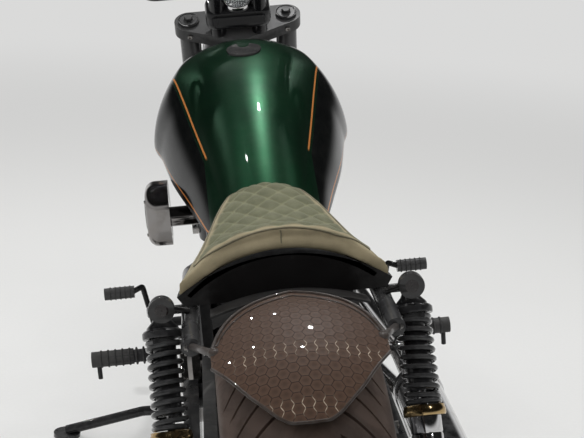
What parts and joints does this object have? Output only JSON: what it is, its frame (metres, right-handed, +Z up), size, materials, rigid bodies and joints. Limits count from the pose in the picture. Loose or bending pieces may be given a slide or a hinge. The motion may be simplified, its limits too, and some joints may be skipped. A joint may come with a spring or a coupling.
{
  "type": "cruiser motorcycle",
  "caption": "Long low cruiser motorcycle leaning on its side stand, with an open V engine, solo quilted seat and wide rear tyre.",
  "frame": {"origin": "middle of the footprint box, on the ground that both tyres and the stand's foot rest on", "axes": "-Y forward along the wheelbase, +X to the rider's left, the side it leans to, +Z up"},
  "size_m": [0.9162, 2.3469, 1.1368],
  "materials": {
    "frame_black": "gloss black powder coat",
    "case_black": "black wrinkle coat",
    "fin_metal": "cast fins, black with machined edges",
    "dark_chrome": "smoked chrome",
    "bright_chrome": "polished chrome",
    "brushed_metal": "brushed",
    "tank_green": "metallic green over black sides, copper pinstripes",
    "seat_suede": "grey green suede, diamond quilting",
    "shell_black": "gloss black",
    "fender_brown": "dark brown clear coat over a honeycomb",
    "tyre_rubber": "road tyre",
    "soft_rubber": "moulded rubber",
    "belt_rubber": "toothed belt",
    "lamp_glass": "clear lens",
    "signal_smoke": "black housing with a smoked lens"
  },
  "bodies": {
    "chassis": {"main_frame": "frame_black", "swingarm": "frame_black", "engine_case": "case_black", "cylinders": "fin_metal", "cylinder_heads": "fin_metal", "pushrod_tubes": "bright_chrome", "primary_cover": "dark_chrome", "gear_cover": "dark_chrome", "intake_cover": "dark_chrome", "exhaust_pipes": "bright_chrome", "mufflers": "bright_chrome", "fuel_tank": "tank_green", "filler_cap": "dark_chrome", "seat": "seat_suede", "tail_shell": "shell_black", "rear_fender": "fender_brown", "shock_bodies": "bright_chrome", "shock_springs": "frame_black", "rear_signals": "signal_smoke", "side_covers": "shell_black", "rider_pegs": "soft_rubber", "foot_controls": "frame_black", "drive_belt": "belt_rubber", "rear_axle": "brushed_metal", "rear_caliper": "case_black"},
    "steering": {"triple_clamps": "frame_black", "fork_tubes": "bright_chrome", "fork_sliders": "frame_black", "handlebar": "frame_black", "grips": "soft_rubber", "levers": "frame_black", "headlamp": "shell_black", "headlamp_lens": "lamp_glass", "front_fender": "shell_black", "front_calipers": "case_black", "front_axle": "brushed_metal", "front_signals": "signal_smoke"},
    "front_wheel": {"front_tyre": "tyre_rubber", "front_rim": "case_black", "front_discs": "brushed_metal"},
    "rear_wheel": {"rear_tyre": "tyre_rubber", "rear_rim": "case_black", "rear_disc": "brushed_metal", "rear_pulley": "case_black"},
    "side_stand": {"side_stand": "frame_black"}
  },
  "joints": [
    {"name": "steering_turn", "type": "hinge", "parent": "chassis", "child": "steering", "pos_m": [0.00136, -0.48664, 0.80468], "axis": [0.1151, 0.5299, 0.8402], "range_deg": [-33, 33]},
    {"name": "front_wheel_spin", "type": "hinge", "parent": "steering", "child": "front_wheel", "pos_m": [-0.06508, -0.8515, 0.31967], "axis": [0.9907, 0, -0.1357], "continuous": true},
    {"name": "rear_wheel_spin", "type": "hinge", "parent": "chassis", "child": "rear_wheel", "pos_m": [-0.06457, 0.8485, 0.32338], "axis": [0.9907, 0, -0.1357], "continuous": true},
    {"name": "side_stand_fold", "type": "hinge", "parent": "chassis", "child": "side_stand", "pos_m": [0.05352, -0.0815, 0.10231], "axis": [0.3407, 0, 0.9402], "range_deg": [0, 92]}
  ]
}
